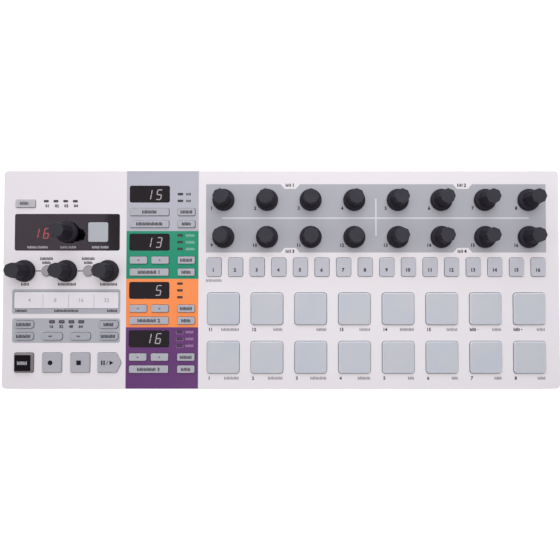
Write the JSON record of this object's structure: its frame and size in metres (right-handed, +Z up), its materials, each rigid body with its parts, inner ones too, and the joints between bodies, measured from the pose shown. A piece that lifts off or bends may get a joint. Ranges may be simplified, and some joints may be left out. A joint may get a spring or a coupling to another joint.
{
  "type": "step sequencer",
  "caption": "Flat desktop step sequencer with knobs, pads, step keys, small displays, a touch strip and a coloured track column.",
  "frame": {"origin": "on the table under the middle of the case", "axes": "+X to the player's right along the case, +Y to the rear sockets, +Z up"},
  "size_m": [0.4128, 0.1618, 0.0349],
  "materials": {
    "case_white": "satin, finely textured",
    "base_metal": "satin powder coat",
    "foot_rubber": "matte",
    "rear_plastic": "satin",
    "socket_black": "semi-gloss",
    "usb_metal": "plated",
    "board_green": "lacquered board",
    "mat_rubber": "matte",
    "encoder_metal": "plain",
    "window_smoke": "smoked, satin gloss",
    "digit_black": "black with lit segments",
    "strip_white": "satin white",
    "light_smoke": "smoked lens",
    "knob_rubber": "soft matte black",
    "pad_rubber": "soft matte pale grey",
    "key_grey": "satin pale grey",
    "shift_black": "satin black"
  },
  "bodies": {
    "root": {"top_panel": "case_white", "case_frame": "case_white", "base_plate": "base_metal", "rubber_feet": "foot_rubber", "rear_panel": "rear_plastic", "jack_sockets": "socket_black", "usb_socket": "usb_metal", "main_board": "board_green", "contact_mats": "mat_rubber", "encoder_bodies": "encoder_metal", "display_windows": "window_smoke", "digit_modules": "digit_black", "touch_strip": "strip_white", "status_lights": "light_smoke"},
    "knob_01_body": {"knob_01": "knob_rubber"},
    "knob_02_body": {"knob_02": "knob_rubber"},
    "knob_03_body": {"knob_03": "knob_rubber"},
    "knob_04_body": {"knob_04": "knob_rubber"},
    "knob_05_body": {"knob_05": "knob_rubber"},
    "knob_06_body": {"knob_06": "knob_rubber"},
    "knob_07_body": {"knob_07": "knob_rubber"},
    "knob_08_body": {"knob_08": "knob_rubber"},
    "knob_09_body": {"knob_09": "knob_rubber"},
    "knob_10_body": {"knob_10": "knob_rubber"},
    "knob_11_body": {"knob_11": "knob_rubber"},
    "knob_12_body": {"knob_12": "knob_rubber"},
    "knob_13_body": {"knob_13": "knob_rubber"},
    "knob_14_body": {"knob_14": "knob_rubber"},
    "knob_15_body": {"knob_15": "knob_rubber"},
    "knob_16_body": {"knob_16": "knob_rubber"},
    "swing_knob_body": {"swing_knob": "knob_rubber"},
    "random_knob_body": {"random_knob": "knob_rubber"},
    "chance_knob_body": {"chance_knob": "knob_rubber"},
    "tempo_knob_body": {"tempo_knob": "knob_rubber"},
    "pad_01_body": {"pad_01": "pad_rubber"},
    "pad_02_body": {"pad_02": "pad_rubber"},
    "pad_03_body": {"pad_03": "pad_rubber"},
    "pad_04_body": {"pad_04": "pad_rubber"},
    "pad_05_body": {"pad_05": "pad_rubber"},
    "pad_06_body": {"pad_06": "pad_rubber"},
    "pad_07_body": {"pad_07": "pad_rubber"},
    "pad_08_body": {"pad_08": "pad_rubber"},
    "pad_09_body": {"pad_09": "pad_rubber"},
    "pad_10_body": {"pad_10": "pad_rubber"},
    "pad_11_body": {"pad_11": "pad_rubber"},
    "pad_12_body": {"pad_12": "pad_rubber"},
    "pad_13_body": {"pad_13": "pad_rubber"},
    "pad_14_body": {"pad_14": "pad_rubber"},
    "pad_15_body": {"pad_15": "pad_rubber"},
    "pad_16_body": {"pad_16": "pad_rubber"},
    "step_keys_body": {"step_keys": "key_grey"},
    "link_keys_body": {"link_keys": "key_grey"},
    "track_keys_body": {"track_keys": "key_grey"},
    "sync_key_body": {"sync_key": "key_grey"},
    "track_buttons_body": {"track_buttons": "key_grey"},
    "shift_key_body": {"shift_key": "shift_black"},
    "record_key_body": {"record_key": "key_grey"},
    "stop_key_body": {"stop_key": "key_grey"},
    "play_key_body": {"play_key": "key_grey"},
    "tap_key_body": {"tap_key": "key_grey"}
  },
  "joints": [
    {"name": "knob_01_turn", "type": "hinge", "parent": "root", "child": "knob_01_body", "pos_m": [-0.04278, 0.059, 0.0193], "axis": [0, 0, 1], "continuous": true},
    {"name": "knob_02_turn", "type": "hinge", "parent": "root", "child": "knob_02_body", "pos_m": [-0.01043, 0.059, 0.0193], "axis": [0, 0, 1], "continuous": true},
    {"name": "knob_03_turn", "type": "hinge", "parent": "root", "child": "knob_03_body", "pos_m": [0.02193, 0.059, 0.0193], "axis": [0, 0, 1], "continuous": true},
    {"name": "knob_04_turn", "type": "hinge", "parent": "root", "child": "knob_04_body", "pos_m": [0.05427, 0.059, 0.0193], "axis": [0, 0, 1], "continuous": true},
    {"name": "knob_05_turn", "type": "hinge", "parent": "root", "child": "knob_05_body", "pos_m": [0.08662, 0.059, 0.0193], "axis": [0, 0, 1], "continuous": true},
    {"name": "knob_06_turn", "type": "hinge", "parent": "root", "child": "knob_06_body", "pos_m": [0.11897, 0.059, 0.0193], "axis": [0, 0, 1], "continuous": true},
    {"name": "knob_07_turn", "type": "hinge", "parent": "root", "child": "knob_07_body", "pos_m": [0.15132, 0.059, 0.0193], "axis": [0, 0, 1], "continuous": true},
    {"name": "knob_08_turn", "type": "hinge", "parent": "root", "child": "knob_08_body", "pos_m": [0.18368, 0.059, 0.0193], "axis": [0, 0, 1], "continuous": true},
    {"name": "knob_09_turn", "type": "hinge", "parent": "root", "child": "knob_09_body", "pos_m": [-0.04278, 0.0314, 0.0193], "axis": [0, 0, 1], "continuous": true},
    {"name": "knob_10_turn", "type": "hinge", "parent": "root", "child": "knob_10_body", "pos_m": [-0.01043, 0.0314, 0.0193], "axis": [0, 0, 1], "continuous": true},
    {"name": "knob_11_turn", "type": "hinge", "parent": "root", "child": "knob_11_body", "pos_m": [0.02193, 0.0314, 0.0193], "axis": [0, 0, 1], "continuous": true},
    {"name": "knob_12_turn", "type": "hinge", "parent": "root", "child": "knob_12_body", "pos_m": [0.05427, 0.0314, 0.0193], "axis": [0, 0, 1], "continuous": true},
    {"name": "knob_13_turn", "type": "hinge", "parent": "root", "child": "knob_13_body", "pos_m": [0.08662, 0.0314, 0.0193], "axis": [0, 0, 1], "continuous": true},
    {"name": "knob_14_turn", "type": "hinge", "parent": "root", "child": "knob_14_body", "pos_m": [0.11897, 0.0314, 0.0193], "axis": [0, 0, 1], "continuous": true},
    {"name": "knob_15_turn", "type": "hinge", "parent": "root", "child": "knob_15_body", "pos_m": [0.15132, 0.0314, 0.0193], "axis": [0, 0, 1], "continuous": true},
    {"name": "knob_16_turn", "type": "hinge", "parent": "root", "child": "knob_16_body", "pos_m": [0.18368, 0.0314, 0.0193], "axis": [0, 0, 1], "continuous": true},
    {"name": "swing_knob_turn", "type": "hinge", "parent": "root", "child": "swing_knob_body", "pos_m": [-0.19005, 0.0062, 0.0193], "axis": [0, 0, 1], "continuous": true},
    {"name": "random_knob_turn", "type": "hinge", "parent": "root", "child": "random_knob_body", "pos_m": [-0.1591, 0.0062, 0.0193], "axis": [0, 0, 1], "continuous": true},
    {"name": "chance_knob_turn", "type": "hinge", "parent": "root", "child": "chance_knob_body", "pos_m": [-0.12815, 0.0062, 0.0193], "axis": [0, 0, 1], "continuous": true},
    {"name": "tempo_knob_turn", "type": "hinge", "parent": "root", "child": "tempo_knob_body", "pos_m": [-0.1586, 0.03495, 0.0193], "axis": [0, 0, 1], "continuous": true},
    {"name": "pad_01_press", "type": "slide", "parent": "root", "child": "pad_01_body", "axis": [0, 0, -1], "range_m": [0, 0.0008], "stiffness_N_per_m": 400, "springref_m": -0.001},
    {"name": "pad_02_press", "type": "slide", "parent": "root", "child": "pad_02_body", "axis": [0, 0, -1], "range_m": [0, 0.0008], "stiffness_N_per_m": 400, "springref_m": -0.001},
    {"name": "pad_03_press", "type": "slide", "parent": "root", "child": "pad_03_body", "axis": [0, 0, -1], "range_m": [0, 0.0008], "stiffness_N_per_m": 400, "springref_m": -0.001},
    {"name": "pad_04_press", "type": "slide", "parent": "root", "child": "pad_04_body", "axis": [0, 0, -1], "range_m": [0, 0.0008], "stiffness_N_per_m": 400, "springref_m": -0.001},
    {"name": "pad_05_press", "type": "slide", "parent": "root", "child": "pad_05_body", "axis": [0, 0, -1], "range_m": [0, 0.0008], "stiffness_N_per_m": 400, "springref_m": -0.001},
    {"name": "pad_06_press", "type": "slide", "parent": "root", "child": "pad_06_body", "axis": [0, 0, -1], "range_m": [0, 0.0008], "stiffness_N_per_m": 400, "springref_m": -0.001},
    {"name": "pad_07_press", "type": "slide", "parent": "root", "child": "pad_07_body", "axis": [0, 0, -1], "range_m": [0, 0.0008], "stiffness_N_per_m": 400, "springref_m": -0.001},
    {"name": "pad_08_press", "type": "slide", "parent": "root", "child": "pad_08_body", "axis": [0, 0, -1], "range_m": [0, 0.0008], "stiffness_N_per_m": 400, "springref_m": -0.001},
    {"name": "pad_09_press", "type": "slide", "parent": "root", "child": "pad_09_body", "axis": [0, 0, -1], "range_m": [0, 0.0008], "stiffness_N_per_m": 400, "springref_m": -0.001},
    {"name": "pad_10_press", "type": "slide", "parent": "root", "child": "pad_10_body", "axis": [0, 0, -1], "range_m": [0, 0.0008], "stiffness_N_per_m": 400, "springref_m": -0.001},
    {"name": "pad_11_press", "type": "slide", "parent": "root", "child": "pad_11_body", "axis": [0, 0, -1], "range_m": [0, 0.0008], "stiffness_N_per_m": 400, "springref_m": -0.001},
    {"name": "pad_12_press", "type": "slide", "parent": "root", "child": "pad_12_body", "axis": [0, 0, -1], "range_m": [0, 0.0008], "stiffness_N_per_m": 400, "springref_m": -0.001},
    {"name": "pad_13_press", "type": "slide", "parent": "root", "child": "pad_13_body", "axis": [0, 0, -1], "range_m": [0, 0.0008], "stiffness_N_per_m": 400, "springref_m": -0.001},
    {"name": "pad_14_press", "type": "slide", "parent": "root", "child": "pad_14_body", "axis": [0, 0, -1], "range_m": [0, 0.0008], "stiffness_N_per_m": 400, "springref_m": -0.001},
    {"name": "pad_15_press", "type": "slide", "parent": "root", "child": "pad_15_body", "axis": [0, 0, -1], "range_m": [0, 0.0008], "stiffness_N_per_m": 400, "springref_m": -0.001},
    {"name": "pad_16_press", "type": "slide", "parent": "root", "child": "pad_16_body", "axis": [0, 0, -1], "range_m": [0, 0.0008], "stiffness_N_per_m": 400, "springref_m": -0.001},
    {"name": "step_keys_press", "type": "slide", "parent": "root", "child": "step_keys_body", "axis": [0, 0, -1], "range_m": [0, 0.0007], "stiffness_N_per_m": 400, "springref_m": -0.001},
    {"name": "link_keys_press", "type": "slide", "parent": "root", "child": "link_keys_body", "axis": [0, 0, -1], "range_m": [0, 0.0007], "stiffness_N_per_m": 400, "springref_m": -0.001},
    {"name": "track_keys_press", "type": "slide", "parent": "root", "child": "track_keys_body", "axis": [0, 0, -1], "range_m": [0, 0.0007], "stiffness_N_per_m": 400, "springref_m": -0.001},
    {"name": "sync_key_press", "type": "slide", "parent": "root", "child": "sync_key_body", "axis": [0, 0, -1], "range_m": [0, 0.0007], "stiffness_N_per_m": 400, "springref_m": -0.001},
    {"name": "track_buttons_press", "type": "slide", "parent": "root", "child": "track_buttons_body", "axis": [0, 0, -1], "range_m": [0, 0.0007], "stiffness_N_per_m": 400, "springref_m": -0.001},
    {"name": "shift_key_press", "type": "slide", "parent": "root", "child": "shift_key_body", "axis": [0, 0, -1], "range_m": [0, 0.0007], "stiffness_N_per_m": 400, "springref_m": -0.001},
    {"name": "record_key_press", "type": "slide", "parent": "root", "child": "record_key_body", "axis": [0, 0, -1], "range_m": [0, 0.0007], "stiffness_N_per_m": 400, "springref_m": -0.001},
    {"name": "stop_key_press", "type": "slide", "parent": "root", "child": "stop_key_body", "axis": [0, 0, -1], "range_m": [0, 0.0007], "stiffness_N_per_m": 400, "springref_m": -0.001},
    {"name": "play_key_press", "type": "slide", "parent": "root", "child": "play_key_body", "axis": [0, 0, -1], "range_m": [0, 0.0007], "stiffness_N_per_m": 400, "springref_m": -0.001},
    {"name": "tap_key_press", "type": "slide", "parent": "root", "child": "tap_key_body", "axis": [0, 0, -1], "range_m": [0, 0.0007], "stiffness_N_per_m": 400, "springref_m": -0.001}
  ]
}
